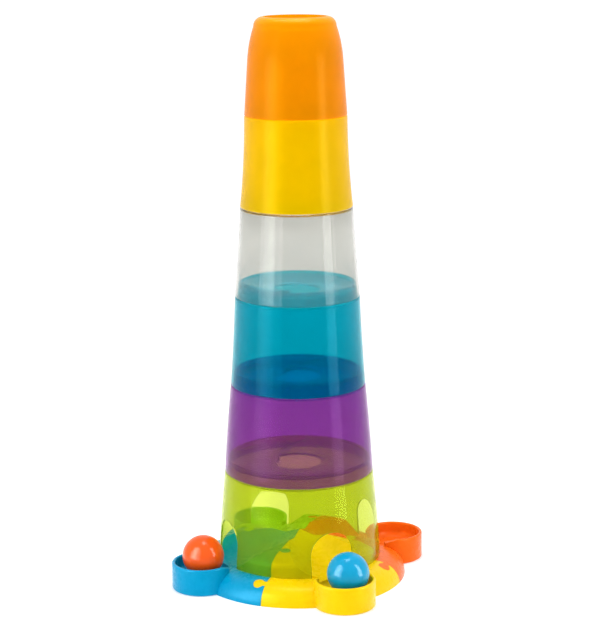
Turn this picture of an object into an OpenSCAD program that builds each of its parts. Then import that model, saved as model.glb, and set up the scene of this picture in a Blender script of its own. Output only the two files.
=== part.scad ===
// Stacking cup tower: six round cups stand upside down on one another, on a base of four jigsaw
// pieces. A ball dropped in at the top runs down the spiral floor of each cup, falls through its
// hole, and leaves through an arch in the lowest cup into one of four trays.
// The origin is on the ground under the middle of the tower, with +Z up. The yellow tray lies
// towards -Y, the orange one towards +X, the green one towards +Y and the blue one towards -X.

/* [Cups] */
// Height from one cup's rim to the rim of the cup that stands on it
cup_rise = 96.7; // [90:0.1:105]
// Height of the top cup
top_cup_h = 103; // [100:0.5:108]
// Wall thickness of the cups
cup_wall = 2; // [1.8:0.1:2.2]
// Height of the neck that reaches up into the next cup
neck_h = 15; // [14:0.5:17]
// Outer radius of the lime cup's rim
lime_r = 88.8; // [88.4:0.1:89.2]
// Outer radius of the purple cup's rim
purple_r = 81; // [80:0.1:82]
// Outer radius of the teal cup's rim
teal_r = 73; // [72:0.1:74]
// Outer radius of the clear cup's rim
clear_r = 67; // [66:0.1:68]
// Outer radius of the yellow cup's rim
yellow_r = 60; // [59:0.1:61]
// Outer radius of the orange cup's rim
orange_r = 54.3; // [53.5:0.1:55]

/* [Spiral floors] */
// Radius of the hole that the ball drops through
hole_r = 24.3; // [23.5:0.1:25]
// Height that the floor falls in one turn
spiral_drop = 5; // [4:0.5:6]
// Height that the floor falls from its edge to the hole
spiral_dish = 4; // [3:0.5:5]
// Thickness of the floor
floor_t = 2; // [1.8:0.1:2.2]

/* [Ball exits] */
// Width of each arch in the lime cup
arch_w = 48; // [46:0.5:49]
// Height of each arch
arch_h = 48; // [46:0.5:50]

/* [Base] */
// Height of the ledge that the lime cup stands on
seat_z = 22; // [21:0.5:23]
// Outer radius of the base on the ground
base_r = 116.2; // [115:0.1:117]
// Height of the peak in the middle, where the ridges between the scoops meet
peak_h = 48.5; // [47:0.5:49]
// Height of the ridges where they start to curve down to the lime cup's wall
ridge_h = 42.2; // [41:0.1:43]
// Height that each scoop's floor is aimed at in the middle of the base
scoop_top = 44.5; // [43:0.5:45]
// Fall of a scoop's floor for each millimetre outwards
scoop_slope = 0.29; // [0.28:0.005:0.3]
// Radius of a scoop in the middle of the base
scoop_r = 24.3; // [23:0.1:26]
// Growth of that radius for each millimetre outwards
scoop_flare = 0.467; // [0.44:0.001:0.48]
// Thickness of the base's walls and floors
base_wall = 2.4; // [2:0.1:2.8]

/* [Trays] */
// Distance from the tower's axis to the middle of each tray
tray_dist = 115.7; // [115:0.1:117]
// Outer radius of a tray
tray_r = 32.7; // [32:0.1:33.5]
// Radius inside a tray
bowl_r = 29; // [28.5:0.1:29.2]
// Height of a tray's rim
tray_h = 29.2; // [28:0.1:31]
// Height of a tray's floor
tray_floor = 12; // [11:0.5:13]

/* [Jigsaw joints] */
// Radius of the outer knobs
outer_knob_r = 5.8; // [5.4:0.1:6]
// Distance from the tower's axis to the outer knobs
outer_knob_at = 101; // [99:0.5:102]
// Radius of the inner knobs
inner_knob_r = 5.3; // [5:0.1:5.6]
// Distance from the tower's axis to the inner knobs
inner_knob_at = 58; // [56:0.5:60]
// Gap between neighbouring base pieces
joint_gap = 0.3; // [0.2:0.05:0.4]

/* [Balls] */
// Diameter of a ball
ball_d = 45; // [44.6:0.1:45]
// Wall thickness of a ball
ball_wall = 1.8; // [1.5:0.1:2.5]

/* [Hidden] */
$fn = 96;
CUPS = ["cup_lime", "cup_purple", "cup_teal", "cup_clear", "cup_yellow", "cup_orange"];
BASES = ["base_yellow", "base_orange", "base_green", "base_blue"];

// One entry for each cup, from the lowest up
RIM_R = [lime_r, purple_r, teal_r, clear_r, yellow_r, orange_r];
// How far the middle of each wall stands out from a straight line
WALL_BOW = [0.6, 0.5, -0.4, -0.4, -1.2, 0];
// Direction of each floor's step, in degrees about +Z
STEP_AT = [56, 36, 156, 246, 100, 330];
TOP = 5;

stack_gap = 0.2;        // between a rim and the shoulder under it
flush_lip = 0.2;        // a shoulder stands out this much from the rim on it
shoulder_fillet = 1.5;
neck_fit = 0.6;         // between a neck and the cup round it, which tapers alike
floor_bite = 0.7;       // a floor's edge is this deep in the wall round it
lip_fillet = 0.9;
wall_steps = 6;         // straight stretches in a cup's curved wall

top_line_h = 58;        // the top cup's wall is straight up to here
top_line_r = 50.4;      // and this wide there
top_arc_r = 140;        // then it curves in on this radius
top_lean = 3.8;         // from this angle
top_fillet = 10;
top_ring_h = 10;        // height of the solid ring round the top cup's floor

spiral_lip = 1;         // the floor starts this far under the top of the neck
spiral_sides = 24;
step_w = 2;             // thickness of the wall at the floor's step

seat_r = 90;            // outer edge of the ledge
plug_r = 85.4;          // the base's middle fits inside the lime cup's rim
ridge_side_h = 31.5;    // the middle's side is upright up to here
ridge_fillet = 7;       // then it curves in on this radius
ridge_r = 69;           // to a ridge that starts this far from the axis
slope_steps = 10;
bowl_fillet = 8;
tray_edge = 2;
scoop_back = 10;        // the scoop starts this far behind the axis
scoop_end = 90;         // and stops about this far from it, inside the tray
facet_slope = 0.45;     // fall of the peak's sides
facet_block = [200, 160, 150];
facet_back = 40;        // length of the block that lies behind the axis
dip_from = 86;          // a tray's rim dips to the ledge between these distances from the axis
dip_to = 106;
outer_knob_out = 8;     // from the joint line to the middle of a knob
inner_knob_out = 6;
outer_neck_w = 6;
inner_neck_w = 5;
piece_h = 60;           // taller than the base, for cutting
big = 200;

ball_rest = 0.3;        // between a ball and its tray
orange_ball_off = [1.2, -0.5];
blue_ball_off = [3.3, -1.5];

function rim_z(i) = seat_z + stack_gap + i * cup_rise;
function cup_h(i) = i == TOP ? top_cup_h - stack_gap : cup_rise - stack_gap;
function shoulder_r(i) = RIM_R[i + 1] + flush_lip;
function neck_r(i) = RIM_R[i + 1] - cup_wall - neck_fit;
function neck_top_r(i) = outer_r(i + 1, neck_h) - cup_wall - neck_fit;
function wall_r(i, t) = RIM_R[i] + (shoulder_r(i) - RIM_R[i]) * t + 4 * WALL_BOW[i] * t * (1 - t);
function floor_top(i) = i == TOP ? cup_h(i) : cup_h(i) + neck_h;
function floor_edge_r(i) = i == TOP ? top_lip_r() + 2 : neck_top_r(i) - floor_bite;
// A cup's outer radius at height h above its rim
function outer_r(i, h) = i == TOP ? top_wall_r(h) : wall_r(i, h / (cup_h(i) - shoulder_fillet));
function arc(c, r, from, to, steps) =
    [for (k = [0:steps]) let (a = from + (to - from) * k / steps) c + r * [cos(a), sin(a)]];

// The top cup's outer curve at height h above its rim
function top_wall_r(h) =
    h < top_line_h
    ? orange_r + (top_line_r - orange_r) * h / top_line_h
    : top_line_r + top_arc_r * (sqrt(1 - pow(top_arc_sin(h), 2)) - cos(top_lean));
function top_arc_sin(h) = sin(top_lean) + (h - top_line_h) / top_arc_r;
function top_lip_r() = top_wall_r(cup_h(TOP) - top_fillet) - top_fillet;

// ---------------------------------------------------------------- cups

// Wall, shoulder and neck of a cup that carries another
module cup_shell(i) {
    h = cup_h(i);
    straight = h - shoulder_fillet;
    neck_top = h + neck_h;
    outer = [for (k = [0:wall_steps]) let (t = k / wall_steps) [wall_r(i, t), t * straight]];
    inner = [for (k = [wall_steps:-1:0])
        let (t = k / wall_steps) [wall_r(i, t) - cup_wall, t * (h - cup_wall)]];
    rotate_extrude() polygon(concat(
        outer,
        arc([shoulder_r(i) - shoulder_fillet, straight], shoulder_fillet, 15, 90, 5),
        [[neck_r(i), h]],
        arc([neck_top_r(i) - lip_fillet, neck_top - lip_fillet], lip_fillet, 0, 90, 4),
        [[neck_top_r(i) - cup_wall, neck_top], [neck_r(i) - cup_wall, h - cup_wall]],
        inner
    ));
}

// Wall of the top cup, with a rounded top edge and a ring round its floor
module top_shell() {
    h = cup_h(TOP);
    turn_in = h - top_fillet;
    ring_r = top_lip_r();
    heights = concat(
        [0, top_line_h / 2],
        [for (k = [0:wall_steps]) top_line_h + (turn_in - top_line_h) * k / wall_steps]);
    outer = [for (z = heights) [top_wall_r(z), z]];
    inner = [for (k = [len(heights) - 1:-1:0])
        [top_wall_r(heights[k]) - cup_wall, min(heights[k], h - top_ring_h)]];
    rotate_extrude() polygon(concat(
        outer,
        arc([ring_r, turn_in], top_fillet, 15, 90, 6),
        [[ring_r, h - top_ring_h]],
        inner
    ));
}

// Floor that falls in one turn round the hole, and inwards to it, with a wall at its step
module spiral_floor(r_out, z_top, step_at) {
    r_in = hole_r - 3;
    rings = 2;
    function floor_z(turn, inward) = z_top - spiral_lip - spiral_drop * turn - spiral_dish * inward;
    function spot(turn, ring, under) =
        let (inward = 1 - ring / rings, r = r_in + (r_out - r_in) * ring / rings, a = -360 * turn)
        [r * cos(a), r * sin(a), floor_z(turn, inward) - under];
    turns = [for (k = [0:spiral_sides]) 0.001 + 0.998 * k / spiral_sides];
    row = rings + 1;
    level = row * len(turns);
    points = [for (under = [0, floor_t]) for (t = turns) for (ring = [0:rings]) spot(t, ring, under)];
    last = spiral_sides * row;
    faces = concat(
        [for (k = [0:spiral_sides - 1]) for (j = [0:rings - 1])
            each let (a = k * row + j, b = a + row)
                [[a, b + 1, b], [a, a + 1, b + 1],
                 [level + a, level + b, level + b + 1], [level + a, level + b + 1, level + a + 1]]],
        [for (k = [0:spiral_sides - 1])
            each let (a = k * row, b = a + row)
                [[a, level + b, level + a], [a, b, level + b],
                 [a + rings, level + b + rings, b + rings],
                 [a + rings, level + a + rings, level + b + rings]]],
        [for (j = [0:rings - 1])
            each [[j, level + j + 1, j + 1], [j, level + j, level + j + 1],
                  [last + j, last + j + 1, level + last + j + 1],
                  [last + j, level + last + j + 1, level + last + j]]]
    );
    step_h = spiral_drop + spiral_dish + floor_t;
    difference() {
        rotate([0, 0, step_at]) union() {
            polyhedron(points, faces);
            translate([r_in, -step_w / 2, z_top - spiral_lip - step_h])
                cube([r_out * 0.995 - r_in, step_w, step_h]);
        }
        translate([0, 0, z_top - step_h - 5]) cylinder(r = hole_r, h = step_h + 10);
    }
}

module arch() {
    round_r = arch_w / 2;
    rotate([90, 0, 90]) {
        translate([0, arch_h - round_r, 0]) cylinder(r = round_r, h = big);
        translate([-round_r, -1, 0]) cube([arch_w, arch_h - round_r + 1, big]);
    }
}

module cup(i) {
    translate([0, 0, rim_z(i)]) {
        if (i == TOP) top_shell(); else cup_shell(i);
        spiral_floor(floor_edge_r(i), floor_top(i), STEP_AT[i]);
    }
}

module cup_lime() color([0.66, 0.8, 0.12, 0.6]) difference() {
    cup(0);
    translate([0, 0, rim_z(0)]) for (a = [0:90:270]) rotate([0, 0, a]) arch();
}
module cup_purple() color([0.5, 0.22, 0.58, 0.7]) cup(1);
module cup_teal() color([0, 0.63, 0.74, 0.7]) cup(2);
module cup_clear() color([0.88, 0.88, 0.85, 0.5]) cup(3);
module cup_yellow() color([0.97, 0.8, 0]) cup(4);
module cup_orange() color([0.97, 0.6, 0.03]) cup(TOP);

// ---------------------------------------------------------------- base

// Outer curve of the base: a quarter ellipse from the ledge to the ground, inset by inset
function slope_pts(inset) =
    [for (k = [0:slope_steps]) let (a = 90 * k / slope_steps)
        [seat_r + (base_r - seat_r - inset) * cos(a), (seat_z - inset) * sin(a)]];

// Crown of the base's middle, under which the ridges run from its side up to the peak
function crown_pts(inset) = concat(
    arc([plug_r - ridge_fillet, ridge_side_h], ridge_fillet - inset, 0, 70, 6),
    [[ridge_r, ridge_h - inset], [0, peak_h - inset]]);

module base_body() {
    rotate_extrude() polygon(concat([[0, 0]], slope_pts(0), [[plug_r, seat_z]], crown_pts(0)));
}

// A cone lies in each scoop, with its lowest line running out and down through the exit into the
// tray. It is kept above one side of the four-sided peak.
module scoop(extra) {
    flare = atan(scoop_flare);
    length = scoop_back + scoop_end + 2 * extra;
    intersection() {
        translate([0, 0, scoop_top]) rotate([0, 90 + atan(scoop_slope) - flare, 0])
            translate([-scoop_r, 0, -scoop_back]) cylinder(
                r1 = scoop_r + extra - scoop_back * scoop_flare,
                r2 = scoop_r + extra + (length - scoop_back) * scoop_flare,
                h = length);
        translate([0, 0, peak_h - extra]) rotate([0, atan(facet_slope), 0])
            translate([-facet_back, -facet_block[1] / 2, 0]) cube(facet_block);
    }
}

// A knob on the joint line, which runs along +X; side is 1 or -1
module knob(at, out, r, neck_w, side, grow) {
    translate([at, side * out]) circle(r = r + grow);
    translate([at - neck_w / 2 - grow, side > 0 ? -0.5 : -out]) square([neck_w + 2 * grow, out + 0.5]);
}
module outer_knob(grow = 0) knob(outer_knob_at, outer_knob_out, outer_knob_r, outer_neck_w, -1, grow);
module inner_knob(grow = 0) knob(inner_knob_at, inner_knob_out, inner_knob_r, inner_neck_w, 1, grow);

// A quarter of the base seen from above, set back from both joint lines
module quarter(set_back) {
    tip = set_back * sqrt(2);
    polygon([[tip, 0], [tip + big, -big], [tip + big, big]]);
}

module piece_outline() difference() {
    union() {
        quarter(joint_gap / 2);
        rotate(-45) outer_knob();
        rotate(45) inner_knob();
    }
    rotate(45) outer_knob(joint_gap);
    rotate(-45) inner_knob(joint_gap);
}

// What the hollow underside keeps clear of
module void_outline() difference() {
    quarter(base_wall);
    rotate(45) outer_knob(joint_gap + base_wall);
    rotate(-45) inner_knob(joint_gap + base_wall);
}

module tray_body() {
    translate([tray_dist, 0, 0]) rotate_extrude() polygon(concat(
        [[0, 0]],
        arc([tray_r - tray_edge, tray_edge], tray_edge, -90, 0, 4),
        arc([bowl_r + (tray_r - bowl_r) / 2, tray_h - (tray_r - bowl_r) / 2],
            (tray_r - bowl_r) / 2, 0, 180, 8),
        [[0, tray_h - (tray_r - bowl_r) / 2]]));
}

// The tray's rim dips to the ledge beside the lime cup
module rim_dip() {
    rotate([90, 0, 0]) linear_extrude(big, center = true)
        polygon([[0, seat_z], [dip_from, seat_z], [dip_to, tray_h], [dip_to, big], [0, big]]);
}

module bowl(extra) {
    r = bowl_r + extra;
    low = tray_floor - extra;
    translate([tray_dist, 0, 0]) rotate_extrude() polygon(concat(
        [[0, low]],
        arc([r - bowl_fillet, low + bowl_fillet], bowl_fillet, -90, 0, 6),
        [[r, big], [0, big]]));
}

module underside() {
    difference() {
        intersection() {
            rotate_extrude() polygon(concat(
                [[0, -1], [base_r - base_wall, -1]],
                slope_pts(base_wall),
                [[plug_r - base_wall, seat_z - base_wall]],
                crown_pts(base_wall)));
            translate([0, 0, -1]) linear_extrude(piece_h) void_outline();
        }
        scoop(base_wall);
        bowl(base_wall);
    }
    translate([tray_dist, 0, -1])
        cylinder(r = tray_r - base_wall, h = tray_floor - base_wall + 1);
}

module base_piece() difference() {
    union() {
        intersection() {
            base_body();
            linear_extrude(piece_h) piece_outline();
        }
        difference() {
            tray_body();
            rim_dip();
        }
    }
    scoop(0);
    bowl(0);
    underside();
}

module base_yellow() color([1, 0.86, 0]) rotate([0, 0, -90]) base_piece();
module base_orange() color([0.94, 0.36, 0.1]) base_piece();
module base_green() color([0.45, 0.75, 0.15]) rotate([0, 0, 90]) base_piece();
module base_blue() color([0, 0.62, 0.88]) rotate([0, 0, 180]) base_piece();

// ---------------------------------------------------------------- balls

module ball(at) translate([at[0], at[1], tray_floor + ball_rest + ball_d / 2]) difference() {
    sphere(d = ball_d);
    sphere(d = ball_d - 2 * ball_wall);
}

module ball_orange() color([0.93, 0.36, 0.1]) ball([-tray_dist, 0] + orange_ball_off);
module ball_blue() color([0, 0.6, 0.85]) ball([0, -tray_dist] + blue_ball_off);

cup_lime();
cup_purple();
cup_teal();
cup_clear();
cup_yellow();
cup_orange();
base_yellow();
base_orange();
base_green();
base_blue();
ball_orange();
ball_blue();
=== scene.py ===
import math

import bmesh
import bpy
from mathutils import Matrix, Vector


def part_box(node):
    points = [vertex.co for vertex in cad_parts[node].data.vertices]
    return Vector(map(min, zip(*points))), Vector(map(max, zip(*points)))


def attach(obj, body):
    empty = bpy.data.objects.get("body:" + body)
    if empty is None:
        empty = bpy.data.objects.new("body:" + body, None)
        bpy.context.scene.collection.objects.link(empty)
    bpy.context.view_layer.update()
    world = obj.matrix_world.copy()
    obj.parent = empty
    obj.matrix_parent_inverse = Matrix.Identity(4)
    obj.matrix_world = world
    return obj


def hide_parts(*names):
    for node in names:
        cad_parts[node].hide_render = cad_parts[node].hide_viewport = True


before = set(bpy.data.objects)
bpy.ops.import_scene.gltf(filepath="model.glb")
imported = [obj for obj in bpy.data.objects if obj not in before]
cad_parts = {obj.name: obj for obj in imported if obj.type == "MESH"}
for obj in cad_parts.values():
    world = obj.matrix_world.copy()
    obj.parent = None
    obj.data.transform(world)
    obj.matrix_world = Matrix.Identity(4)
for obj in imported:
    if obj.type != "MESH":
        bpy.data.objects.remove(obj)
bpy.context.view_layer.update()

MM = 0.001

# ------------------------------------------------------------------ sizes, in millimetres
SEAT_Z = 22
STACK_GAP = 0.2
CUP_RISE = 96.7
TOP_CUP_H = 103
CUP_WALL = 2
NECK_H = 15
RIM_R = (88.8, 81, 73, 67, 60, 54.3)
WALL_BOW = (0.6, 0.5, -0.4, -0.4, -1.2, 0)
STEP_AT = (56, 36, 156, 246, 100, 330)
TOP = 5
FLUSH_LIP = 0.2
SHOULDER_FILLET = 1.5
NECK_FIT = 0.6
LIP_FILLET = 0.9
TOP_LINE_H = 58
TOP_LINE_R = 50.4
TOP_ARC_R = 140
TOP_LEAN = math.radians(3.8)
TOP_FILLET = 10
HOLE_R = 24.3
SPIRAL_DROP = 5
SPIRAL_DISH = 4
SPIRAL_LIP = 1
SWIRL = 70              # degrees that the floor's step curls on its way in to the hole
STEP_WIDTH = 2.5        # degrees
COLUMNS = 144
BALL_R = 22.5
TOP_INNER_EDGE = 9      # depth of the top cup's inner edge under its top
TOP_WALL_END = 13       # where the inside of its wall begins
NECK_FOOT_R = 1
UNDER_SHOULDER_R = 1.5
ARCH_W = 48
ARCH_H = 48
ARCH_BELOW_RIM = 3
ARCH_CUT = (50, 120)    # from and to, out from the axis


# ------------------------------------------------------------------ camera, light and floor
CAMERA_AZ = math.radians(-24)
CAMERA_PITCH = math.radians(12.46)
CAMERA_ROLL = math.radians(-0.5)
CAMERA_DISTANCE = 2.008
CAMERA_LENS = 106
AIM_HEIGHT = 0.2884
AIM_RIGHT = 0.0026

LAMP_SHARE = 0.88       # how far up in its cup a hidden lamp hangs
LAMP_SIZE = (0.07, 0.07)
LAMPS = ((0, 0.01), (3, 0.6), (4, 0.004))
NEAR_AXIS = 0.01
STREAK_DISTANCE = 0.5
STREAK_MIDDLE = 0.31
STREAK_HEIGHT = 0.62
STREAKS = (
    ("broad_streak", -49, 0.42, 5),
    ("bright_streak", -52, 0.2, 3),
    ("narrow_streak", 59, 0.16, 4),
)
FLOOR_SIZE = 60
FLOOR_SINK = 0.0002
FLOOR_GLOW = 0.28


def out_from_axis(azimuth, distance, height):
    """A point seen at this azimuth from the tower's axis."""
    return Vector((distance * math.sin(azimuth), -distance * math.cos(azimuth), height))


def make_camera():
    right = Vector((math.cos(CAMERA_AZ), math.sin(CAMERA_AZ), 0))
    aim = Vector((0, 0, AIM_HEIGHT)) + right * AIM_RIGHT
    level = CAMERA_DISTANCE * math.cos(CAMERA_PITCH)
    rise = CAMERA_DISTANCE * math.sin(CAMERA_PITCH)
    place = out_from_axis(CAMERA_AZ, level, AIM_HEIGHT + rise)
    data = bpy.data.cameras.new("camera")
    data.lens = CAMERA_LENS
    camera = bpy.data.objects.new("camera", data)
    turn = (aim - place).to_track_quat("-Z", "Y").to_matrix().to_4x4()
    camera.matrix_world = Matrix.Translation(place) @ turn @ Matrix.Rotation(CAMERA_ROLL, 4, "Z")
    bpy.context.scene.collection.objects.link(camera)
    bpy.context.scene.camera = camera


def add_softbox(name, side, distance, height, size, power, aim_height=0.3):
    """A rectangular light, side degrees to the right of the camera as seen from the tower."""
    data = bpy.data.lights.new(name, "AREA")
    data.shape = "RECTANGLE"
    data.size, data.size_y = size
    data.energy = power
    light = bpy.data.objects.new(name, data)
    place = out_from_axis(CAMERA_AZ + math.radians(side), distance, height)
    light.location = place
    aim = Vector((0, 0, aim_height)) - place
    light.rotation_euler = aim.to_track_quat("-Z", "Y").to_euler()
    bpy.context.scene.collection.objects.link(light)
    return light


def add_lamp_inside(level, power):
    """A small lamp under the floor of a see-through cup, which lights what stands in that cup."""
    height = (SEAT_Z + CUP_RISE * (level + LAMP_SHARE)) * MM
    lamp = add_softbox("lamp_in_cup_%d" % level, 0, 0.0001, height, LAMP_SIZE, power)
    lamp.rotation_euler = (0, 0, 0)
    lamp.visible_camera = False
    lamp.visible_glossy = False
    lamp.visible_transmission = False


def add_streak(name, side, width, power):
    """A tall box close by, seen only as a streak down the sides of the cups."""
    size = (width, STREAK_HEIGHT)
    box = add_softbox(name, side, STREAK_DISTANCE, STREAK_MIDDLE, size, power, STREAK_MIDDLE)
    box.visible_camera = False
    box.visible_diffuse = False
    box.visible_transmission = False


def make_studio():
    add_softbox("broad_box", -50, 1.5, 0.72, (0.35, 1.3), 6.5)
    strip_box = add_softbox("strip_box", 78, 0.95, 0.62, (0.1, 1.1), 2.2)
    strip_box.visible_glossy = False
    for streak in STREAKS:
        add_streak(*streak)
    overhead = add_softbox("overhead", 0, NEAR_AXIS, 2.4, (2, 2), 4)
    overhead.rotation_euler = (0, 0, 0)
    crown_box = add_softbox("crown_box", 0, NEAR_AXIS, 0.95, (0.3, 0.3), 3)
    crown_box.rotation_euler = (0, 0, 0)
    for level, power in LAMPS:
        add_lamp_inside(level, power)
    world = bpy.data.worlds.new("studio")
    world.use_nodes = True
    sky = world.node_tree.nodes["Background"]
    sky.inputs["Color"].default_value = (1, 1, 1, 1)
    sky.inputs["Strength"].default_value = 1.0
    bpy.context.scene.world = world
    bpy.context.scene.view_settings.view_transform = "Standard"


def make_floor():
    bpy.ops.mesh.primitive_plane_add(size=FLOOR_SIZE, location=(0, 0, -FLOOR_SINK))
    floor = bpy.context.object
    floor.name = "floor"
    floor.data.materials.append(matt_white("floor_white"))


# ------------------------------------------------------------------ materials
def new_material(name):
    material = bpy.data.materials.new(name)
    material.use_nodes = True
    tree = material.node_tree
    tree.nodes.clear()
    out = tree.nodes.new("ShaderNodeOutputMaterial")
    return material, tree, out


def matt_white(name):
    material, tree, out = new_material(name)
    shader = tree.nodes.new("ShaderNodeBsdfPrincipled")
    shader.inputs["Base Color"].default_value = (0.8, 0.8, 0.8, 1)
    shader.inputs["Roughness"].default_value = 0.9
    shader.inputs["Specular IOR Level"].default_value = 0
    shader.inputs["Emission Color"].default_value = (1, 1, 1, 1)
    shader.inputs["Emission Strength"].default_value = FLOOR_GLOW
    tree.links.new(shader.outputs[0], out.inputs[0])
    return material


def from_srgb(colour):
    """Linear values for a colour given as 0 to 255."""
    def one(v):
        v /= 255
        return v / 12.92 if v <= 0.04045 else ((v + 0.055) / 1.055) ** 2.4
    return tuple(one(v) for v in colour) + (1,)


def noise(tree, scale, detail=2.0):
    """Noise over the piece's own space; scale is in cells a metre."""
    place = tree.nodes.new("ShaderNodeTexCoord")
    texture = tree.nodes.new("ShaderNodeTexNoise")
    texture.inputs["Scale"].default_value = scale
    texture.inputs["Detail"].default_value = detail
    tree.links.new(place.outputs["Object"], texture.inputs["Vector"])
    return texture.outputs["Fac"]


def mapped(tree, value, low, high):
    """The middle of the noise's range, stretched from low to high."""
    node = tree.nodes.new("ShaderNodeMapRange")
    node.inputs["From Min"].default_value = 0.3
    node.inputs["From Max"].default_value = 0.7
    node.inputs["To Min"].default_value = low
    node.inputs["To Max"].default_value = high
    tree.links.new(value, node.inputs["Value"])
    return node.outputs[0]


def clouded(tree, colour, amount=0.05, scale=40):
    """The colour, a little lighter and darker from place to place as pigment is in a moulding."""
    mix = tree.nodes.new("ShaderNodeMix")
    mix.data_type = "RGBA"
    mix.inputs["A"].default_value = tuple(v * (1 - amount) for v in colour[:3]) + (1,)
    mix.inputs["B"].default_value = tuple(min(1, v * (1 + amount)) for v in colour[:3]) + (1,)
    tree.links.new(mapped(tree, noise(tree, scale), 0, 1), mix.inputs["Factor"])
    return mix.outputs["Result"]


def moulded_skin(tree, strength=0.007, scale=900):
    """The fine unevenness of a moulded surface."""
    bump = tree.nodes.new("ShaderNodeBump")
    bump.inputs["Strength"].default_value = strength
    bump.inputs["Distance"].default_value = 0.0004
    tree.links.new(noise(tree, scale, 3), bump.inputs["Height"])
    return bump.outputs["Normal"]


def solid_plastic(name, colour, roughness=0.28, glow=0.12, pale_gloss=0.1):
    """Opaque plastic; its reflections are tinted, less so the higher pale_gloss is."""
    material, tree, out = new_material(name)
    shader = tree.nodes.new("ShaderNodeBsdfPrincipled")
    linear = from_srgb(colour)
    tree.links.new(clouded(tree, linear), shader.inputs["Base Color"])
    tree.links.new(mapped(tree, noise(tree, 160), roughness * 0.85, roughness * 1.15),
                   shader.inputs["Roughness"])
    tree.links.new(moulded_skin(tree), shader.inputs["Normal"])
    shader.inputs["IOR"].default_value = 1.4 + 0.1 * pale_gloss
    shader.inputs["Specular Tint"].default_value = tuple(v + (1 - v) * pale_gloss for v in linear)
    shader.inputs["Subsurface Weight"].default_value = glow
    shader.inputs["Subsurface Radius"].default_value = (1, 1, 1)
    shader.inputs["Subsurface Scale"].default_value = 0.004
    tree.links.new(shader.outputs[0], out.inputs[0])
    return material


def see_through_plastic(name, clear_colour, milk_colour, milk, roughness=0.02, glow=0.5):
    """Tinted clear plastic; milk is how much of the light each surface scatters."""
    material, tree, out = new_material(name)
    glass = tree.nodes.new("ShaderNodeBsdfPrincipled")
    glass.inputs["Transmission Weight"].default_value = 1
    glass.inputs["IOR"].default_value = 1.22
    clear = from_srgb(clear_colour)
    glass.inputs["Specular Tint"].default_value = from_srgb(milk_colour)
    tree.links.new(clouded(tree, clear, 0.02), glass.inputs["Base Color"])
    rough = mapped(tree, noise(tree, 160), roughness * 0.8, roughness * 1.2)
    tree.links.new(rough, glass.inputs["Roughness"])

    front = tree.nodes.new("ShaderNodeBsdfPrincipled")
    cloudy = clouded(tree, from_srgb(milk_colour), 0.03)
    tree.links.new(cloudy, front.inputs["Base Color"])
    front.inputs["Roughness"].default_value = 0.25
    front.inputs["IOR"].default_value = 1.4
    front.inputs["Specular Tint"].default_value = from_srgb(milk_colour)
    back = tree.nodes.new("ShaderNodeBsdfTranslucent")
    tree.links.new(cloudy, back.inputs["Color"])
    milky = tree.nodes.new("ShaderNodeMixShader")
    milky.inputs["Fac"].default_value = glow
    tree.links.new(front.outputs[0], milky.inputs[1])
    tree.links.new(back.outputs[0], milky.inputs[2])

    body = tree.nodes.new("ShaderNodeMixShader")
    body.inputs["Fac"].default_value = milk
    tree.links.new(glass.outputs[0], body.inputs[1])
    tree.links.new(milky.outputs[0], body.inputs[2])

    lamp_path = tree.nodes.new("ShaderNodeLightPath")
    passing = tree.nodes.new("ShaderNodeBsdfTransparent")
    passing.inputs["Color"].default_value = tuple(v ** 0.3 for v in clear[:3]) + (1,)
    shaded = tree.nodes.new("ShaderNodeMixShader")
    tree.links.new(lamp_path.outputs["Is Shadow Ray"], shaded.inputs["Fac"])
    tree.links.new(body.outputs[0], shaded.inputs[1])
    tree.links.new(passing.outputs[0], shaded.inputs[2])
    tree.links.new(shaded.outputs[0], out.inputs[0])
    return material


# ------------------------------------------------------------------ cups
def rim_z(i):
    return SEAT_Z + STACK_GAP + i * CUP_RISE


def cup_h(i):
    return (TOP_CUP_H if i == TOP else CUP_RISE) - STACK_GAP


def shoulder_r(i):
    return RIM_R[i + 1] + FLUSH_LIP


def neck_r(i):
    return RIM_R[i + 1] - CUP_WALL - NECK_FIT


def top_wall_r(h):
    if h < TOP_LINE_H:
        return RIM_R[TOP] + (TOP_LINE_R - RIM_R[TOP]) * h / TOP_LINE_H
    sine = math.sin(TOP_LEAN) + (h - TOP_LINE_H) / TOP_ARC_R
    return TOP_LINE_R + TOP_ARC_R * (math.sqrt(1 - sine * sine) - math.cos(TOP_LEAN))


def wall_r(i, h):
    if i == TOP:
        return top_wall_r(h)
    t = h / (cup_h(i) - SHOULDER_FILLET)
    return RIM_R[i] + (shoulder_r(i) - RIM_R[i]) * t + 4 * WALL_BOW[i] * t * (1 - t)


def neck_top_r(i):
    return wall_r(i + 1, NECK_H) - CUP_WALL - NECK_FIT


def arc(centre, radius, start, end, steps):
    """Points on an arc, with angles in degrees, as (r, z, 0)."""
    points = []
    for k in range(steps + 1):
        a = math.radians(start + (end - start) * k / steps)
        points.append((centre[0] + radius * math.cos(a), centre[1] + radius * math.sin(a), 0))
    return points


def spread(low, high, steps):
    return [low + (high - low) * k / steps for k in range(steps + 1)]


def ease(t):
    return t * t * (3 - 2 * t)


def floor_profile(edge_r, top_z):
    """The spiral floor's top from its edge in, round the hole's lip, and back under it."""
    lip = CUP_WALL / 2
    top = []
    for u in spread(0, 1, 12):
        r = edge_r + (HOLE_R + lip - edge_r) * u
        top.append((r, top_z - SPIRAL_LIP - SPIRAL_DISH * ease(u) ** 0.7, 1))
    end_z = top[-1][1]
    turn = [(r, z, 1) for r, z, _ in arc((HOLE_R + lip, end_z - lip), lip, 90, 270, 6)[1:-1]]
    under = [(r, z - CUP_WALL, 1) for r, z, _ in reversed(top)]
    return top + turn + under


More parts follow.
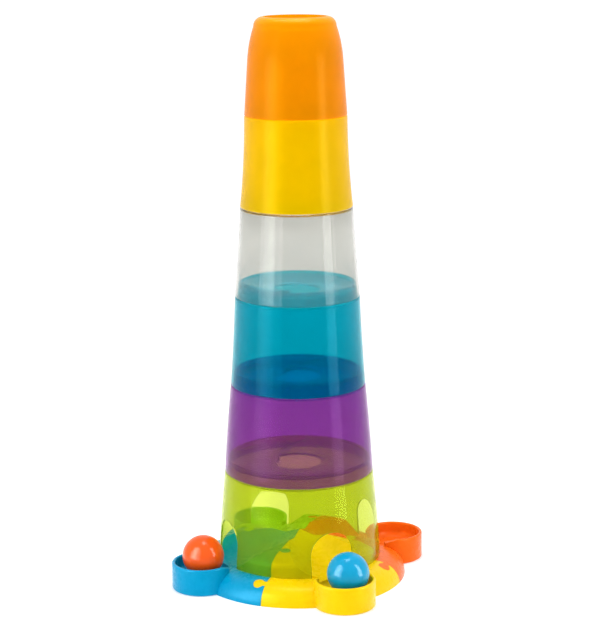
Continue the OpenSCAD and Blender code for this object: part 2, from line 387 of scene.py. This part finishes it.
def cup_profile(i):
    """The closed outline of a cup's wall and floor as (r, z, share of the spiral's fall)."""
    h = cup_h(i)
    half = CUP_WALL / 2
    points = arc((RIM_R[i] - half, half), half, 180, 360, 6)
    if i == TOP:
        edge_r = top_wall_r(h - TOP_FILLET) - TOP_FILLET
        points += [(wall_r(i, z), z, 0) for z in spread(half, h - TOP_FILLET, 24)[1:]]
        points += arc((edge_r, h - TOP_FILLET), TOP_FILLET, 15, 90, 8)
        points += [(edge_r - 0.5, h - 0.15, 0)]
        points += floor_profile(edge_r - 0.8, h)
        points += [(edge_r, h - TOP_INNER_EDGE, 0), (edge_r + 0.8, h - TOP_INNER_EDGE - 0.6, 0)]
        inside = spread(h - TOP_WALL_END, half, 24)[:-1]
        points += [(wall_r(i, z) - CUP_WALL, z, 0) for z in inside]
        return points
    r, top_r = neck_r(i), neck_top_r(i)
    neck_top = h + NECK_H
    points += [(wall_r(i, z), z, 0) for z in spread(half, h - SHOULDER_FILLET, 18)[1:]]
    fillet = SHOULDER_FILLET
    points += arc((shoulder_r(i) - fillet, h - fillet), fillet, 15, 90, 5)
    points += arc((r + NECK_FOOT_R, h + NECK_FOOT_R), NECK_FOOT_R, 270, 180, 4)
    points += arc((top_r - LIP_FILLET, neck_top - LIP_FILLET), LIP_FILLET, 0, 90, 4)
    points += [(top_r - 1.8, neck_top - 0.1, 0)]
    points += floor_profile(top_r - CUP_WALL, neck_top)
    points += [(r - CUP_WALL, h - CUP_WALL + 1, 0), (r - CUP_WALL + 0.3, h - CUP_WALL + 0.3, 0)]
    inner_r = wall_r(i, h - CUP_WALL - 2) - CUP_WALL
    fillet = UNDER_SHOULDER_R
    points += arc((inner_r - fillet, h - CUP_WALL - fillet), fillet, 90, 10, 4)
    points += [(wall_r(i, z) - CUP_WALL, z, 0) for z in spread(h - 5, half, 18)[:-1]]
    return points


def column_turns():
    """Where each column stands, in turns from the step, and how far the floor has fallen there."""
    flat = 1 - STEP_WIDTH / 360
    turns = [(flat * k / COLUMNS, k / COLUMNS) for k in range(COLUMNS + 1)]
    return turns + [(flat + (1 - flat) * t, 1 - ease(t)) for t in (0.3, 0.5, 0.7)]


def cup_mesh(i):
    """The outline swept round the axis, with its floor points turned and lowered on the way."""
    profile = cup_profile(i)
    floor_r = max(r for r, _, fall in profile if fall)
    bm = bmesh.new()
    columns = []
    for turn, fallen in column_turns():
        column = []
        for r, z, fall in profile:
            inward = (floor_r - r) / (floor_r - HOLE_R) if fall else 0
            a = math.radians(STEP_AT[i] - 360 * turn + SWIRL * max(0, inward) ** 1.5)
            height = rim_z(i) + z - fall * SPIRAL_DROP * fallen
            column.append(bm.verts.new((r * math.cos(a) * MM, r * math.sin(a) * MM, height * MM)))
        columns.append(column)
    for a, b in zip(columns, columns[1:] + columns[:1]):
        for k in range(len(profile)):
            n = (k + 1) % len(profile)
            bm.faces.new((a[k], a[n], b[n], b[k]))
    bmesh.ops.recalc_face_normals(bm, faces=bm.faces)
    return bm


def arch_cutter():
    """Four round-topped tunnels out of the lowest cup."""
    bm = bmesh.new()
    r = ARCH_W / 2
    outline = [(-r, -ARCH_BELOW_RIM)]
    outline += [(-r * math.cos(math.pi * k / 32), ARCH_H - r + r * math.sin(math.pi * k / 32))
                for k in range(33)]
    outline += [(r, -ARCH_BELOW_RIM)]
    for quarter in range(4):
        spin = Matrix.Rotation(math.radians(90 * quarter), 3, "Z")
        ends = []
        for x in ARCH_CUT:
            end = [spin @ Vector((x, y, z + rim_z(0))) * MM for y, z in outline]
            ends.append([bm.verts.new(corner) for corner in end])
        near, far = ends
        count = len(outline)
        for k in range(count):
            n = (k + 1) % count
            bm.faces.new((near[k], near[n], far[n], far[k]))
        bm.faces.new(near)
        bm.faces.new(far)
    bmesh.ops.recalc_face_normals(bm, faces=bm.faces)
    return to_object("arch_cutter", bm)


def to_object(name, bm):
    mesh = bpy.data.meshes.new(name)
    bm.to_mesh(mesh)
    bm.free()
    piece = bpy.data.objects.new(name, mesh)
    bpy.context.scene.collection.objects.link(piece)
    return piece


def apply_modifiers(piece):
    bpy.context.view_layer.update()
    graph = bpy.context.evaluated_depsgraph_get()
    mesh = bpy.data.meshes.new_from_object(piece.evaluated_get(graph))
    piece.modifiers.clear()
    piece.data = mesh


def cut(piece, cutter):
    tool = piece.modifiers.new("cut", "BOOLEAN")
    tool.operation = "DIFFERENCE"
    tool.solver = "EXACT"
    tool.object = cutter
    apply_modifiers(piece)
    bpy.data.objects.remove(cutter)


def finish_piece(piece, node, material, angle=35):
    """Smooth shading, material, and the piece's place in the frame."""
    piece.data.shade_smooth()
    piece.data.set_sharp_from_angle(angle=math.radians(angle))
    piece.data.materials.clear()
    piece.data.materials.append(material)
    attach(piece, node)
    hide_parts(node)


CUPS = (
    ("cup_lime", see_through_plastic("lime", (218, 223, 104), (176, 201, 24), 0.2)),
    ("cup_purple", see_through_plastic("purple", (195, 134, 203), (130, 62, 148), 0.25)),
    ("cup_teal", see_through_plastic("teal", (0, 190, 202), (0, 158, 176), 0.14)),
    ("cup_clear", see_through_plastic("clear", (213, 213, 209), (235, 235, 230), 0.02)),
    ("cup_yellow", see_through_plastic("yellow", (230, 215, 0), (227, 197, 0), 0.8)),
    ("cup_orange", see_through_plastic("orange", (226, 173, 8), (222, 158, 4), 0.8)),
)


def make_cups():
    for i, (node, material) in enumerate(CUPS):
        cup = to_object(node + "_moulding", cup_mesh(i))
        if i == 0:
            cut(cup, arch_cutter())
        finish_piece(cup, node, material)


# ------------------------------------------------------------------ base
BASES = (
    ("base_yellow", (230, 191, 3)),
    ("base_orange", (230, 100, 18)),
    ("base_green", (125, 195, 40)),
    ("base_blue", (0, 143, 186)),
)


def make_bases():
    """Copies of the base's own meshes, with their normals smoothed afresh."""
    for node, colour in BASES:
        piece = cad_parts[node].copy()
        piece.data = piece.data.copy()
        piece.name = node + "_moulding"
        piece.parent = None
        for key in list(piece.keys()):
            del piece[key]
        bpy.context.scene.collection.objects.link(piece)
        bm = bmesh.new()
        bm.from_mesh(piece.data)
        bmesh.ops.remove_doubles(bm, verts=bm.verts, dist=0.00001)
        bm.to_mesh(piece.data)
        bm.free()
        if "custom_normal" in piece.data.attributes:
            piece.data.attributes.remove(piece.data.attributes["custom_normal"])
        finish_piece(piece, node, solid_plastic(node + "_plastic", colour), 30)


# ------------------------------------------------------------------ balls
BALLS = (
    ("ball_orange", (228, 85, 18), (40, 20)),
    ("ball_blue", (0, 148, 190), (25, -35)),
)


def ball_mesh(centre, lean):
    """A ball moulded in two halves, with a fine groove where they meet."""
    r = BALL_R * MM
    groove_depth = 0.00012
    groove_width = math.radians(0.6)
    bm = bmesh.new()
    bmesh.ops.create_uvsphere(bm, u_segments=96, v_segments=96, radius=r)
    for vert in bm.verts:
        latitude = math.asin(max(-1, min(1, vert.co.z / r)))
        if abs(latitude) < groove_width:
            vert.co *= 1 - groove_depth / r
    forward = Matrix.Rotation(math.radians(lean[0]), 4, "X")
    aside = Matrix.Rotation(math.radians(lean[1]), 4, "Y")
    tilt = forward @ aside
    bm.transform(Matrix.Translation(centre) @ tilt)
    return bm


def make_balls():
    for node, colour, lean in BALLS:
        low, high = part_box(node)
        ball = to_object(node + "_shell", ball_mesh((low + high) / 2, lean))
        plastic = solid_plastic(node + "_plastic", colour, 0.15, 0.15, 0.45)
        finish_piece(ball, node, plastic, 60)


make_camera()
make_studio()
make_floor()
make_cups()
make_bases()
make_balls()
